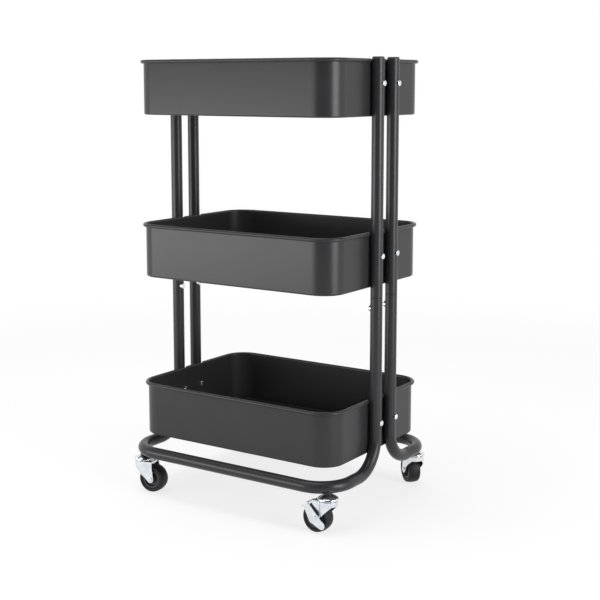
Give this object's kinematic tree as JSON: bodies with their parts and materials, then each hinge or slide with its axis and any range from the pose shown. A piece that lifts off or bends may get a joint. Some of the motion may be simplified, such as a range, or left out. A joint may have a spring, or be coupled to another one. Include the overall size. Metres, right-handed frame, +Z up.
{
  "type": "rolling storage cart",
  "caption": "Tiered rolling storage cart: deep steel trays with rolled rims bolted between tube posts, on bent-tube base loops with swivel casters and side brakes.",
  "frame": {"origin": "on the floor under the middle of the cart, between the four posts", "axes": "+X along the trays, +Y across them to the rear loop, +Z up"},
  "size_m": [0.4594, 0.3602, 0.7825],
  "materials": {
    "charcoal_powder_coat": "satin",
    "zinc_plate": "bright zinc plate",
    "bare_steel": "plain steel",
    "black_cap_plastic": "matte",
    "hub_plastic": "matte",
    "black_rubber": "matte"
  },
  "bodies": {
    "cart_frame": {"front_frame_tube": "charcoal_powder_coat", "rear_frame_tube": "charcoal_powder_coat", "caster_weld_nuts": "charcoal_powder_coat", "post_right_front": "charcoal_powder_coat", "post_right_rear": "charcoal_powder_coat", "post_left_front": "charcoal_powder_coat", "post_left_rear": "charcoal_powder_coat", "bottom_tray": "charcoal_powder_coat", "bottom_mesh_floor": "charcoal_powder_coat", "middle_tray": "charcoal_powder_coat", "middle_mesh_floor": "charcoal_powder_coat", "top_tray": "charcoal_powder_coat", "top_mesh_floor": "charcoal_powder_coat", "post_cap_right_front": "black_cap_plastic", "joint_sleeve_right_front": "bare_steel", "post_cap_right_rear": "black_cap_plastic", "joint_sleeve_right_rear": "bare_steel", "post_cap_left_front": "black_cap_plastic", "joint_sleeve_left_front": "bare_steel", "post_cap_left_rear": "black_cap_plastic", "joint_sleeve_left_rear": "bare_steel", "joint_screws": "zinc_plate", "tray_bolts": "zinc_plate", "tray_nuts": "zinc_plate", "stem_front_left": "zinc_plate", "top_race_front_left": "zinc_plate", "bearing_balls_front_left": "bare_steel", "stem_front_right": "zinc_plate", "top_race_front_right": "zinc_plate", "bearing_balls_front_right": "bare_steel", "stem_rear_right": "zinc_plate", "top_race_rear_right": "zinc_plate", "bearing_balls_rear_right": "bare_steel", "stem_rear_left": "zinc_plate", "top_race_rear_left": "zinc_plate", "bearing_balls_rear_left": "bare_steel"},
    "swivel_front_left": {"fork_front_left": "zinc_plate", "axle_front_left": "zinc_plate"},
    "wheel_front_left": {"hub_front_left": "hub_plastic", "tyre_front_left": "black_rubber"},
    "swivel_front_right": {"fork_front_right": "zinc_plate", "axle_front_right": "zinc_plate", "brake_pivot_front_right": "zinc_plate"},
    "wheel_front_right": {"hub_front_right": "hub_plastic", "tyre_front_right": "black_rubber"},
    "brake_front_right": {"brake_lever_front_right": "zinc_plate"},
    "swivel_rear_right": {"fork_rear_right": "zinc_plate", "axle_rear_right": "zinc_plate"},
    "wheel_rear_right": {"hub_rear_right": "hub_plastic", "tyre_rear_right": "black_rubber"},
    "swivel_rear_left": {"fork_rear_left": "zinc_plate", "axle_rear_left": "zinc_plate", "brake_pivot_rear_left": "zinc_plate"},
    "wheel_rear_left": {"hub_rear_left": "hub_plastic", "tyre_rear_left": "black_rubber"},
    "brake_rear_left": {"brake_lever_rear_left": "zinc_plate"}
  },
  "joints": [
    {"name": "swivel_turn_front_left", "type": "hinge", "parent": "cart_frame", "child": "swivel_front_left", "pos_m": [-0.19955, -0.1487, 0.06], "axis": [0, 0, 1], "continuous": true},
    {"name": "wheel_spin_front_left", "type": "hinge", "parent": "swivel_front_left", "child": "wheel_front_left", "pos_m": [-0.1798, -0.14557, 0.025], "axis": [-0.1564, 0.9877, 0], "continuous": true},
    {"name": "swivel_turn_front_right", "type": "hinge", "parent": "cart_frame", "child": "swivel_front_right", "pos_m": [0.19955, -0.1487, 0.06], "axis": [0, 0, 1], "continuous": true},
    {"name": "wheel_spin_front_right", "type": "hinge", "parent": "swivel_front_right", "child": "wheel_front_right", "pos_m": [0.17956, -0.148, 0.025], "axis": [-0.0349, -0.9994, 0], "continuous": true},
    {"name": "brake_press_front_right", "type": "hinge", "parent": "swivel_front_right", "child": "brake_front_right", "pos_m": [0.18456, -0.14818, 0.03], "axis": [-0.0349, -0.9994, 0], "range_deg": [0, 15.5]},
    {"name": "swivel_turn_rear_right", "type": "hinge", "parent": "cart_frame", "child": "swivel_rear_right", "pos_m": [0.19955, 0.1487, 0.06], "axis": [0, 0, 1], "continuous": true},
    {"name": "wheel_spin_rear_right", "type": "hinge", "parent": "swivel_rear_right", "child": "wheel_rear_right", "pos_m": [0.18423, 0.16156, 0.025], "axis": [-0.6428, -0.766, 0], "continuous": true},
    {"name": "swivel_turn_rear_left", "type": "hinge", "parent": "cart_frame", "child": "swivel_rear_left", "pos_m": [-0.19955, 0.1487, 0.06], "axis": [0, 0, 1], "continuous": true},
    {"name": "wheel_spin_rear_left", "type": "hinge", "parent": "swivel_rear_left", "child": "wheel_rear_left", "pos_m": [-0.18143, 0.14025, 0.025], "axis": [0.4226, 0.9063, 0], "continuous": true},
    {"name": "brake_press_rear_left", "type": "hinge", "parent": "swivel_rear_left", "child": "brake_rear_left", "pos_m": [-0.18596, 0.14236, 0.03], "axis": [0.4226, 0.9063, 0], "range_deg": [0, 15.5]}
  ]
}
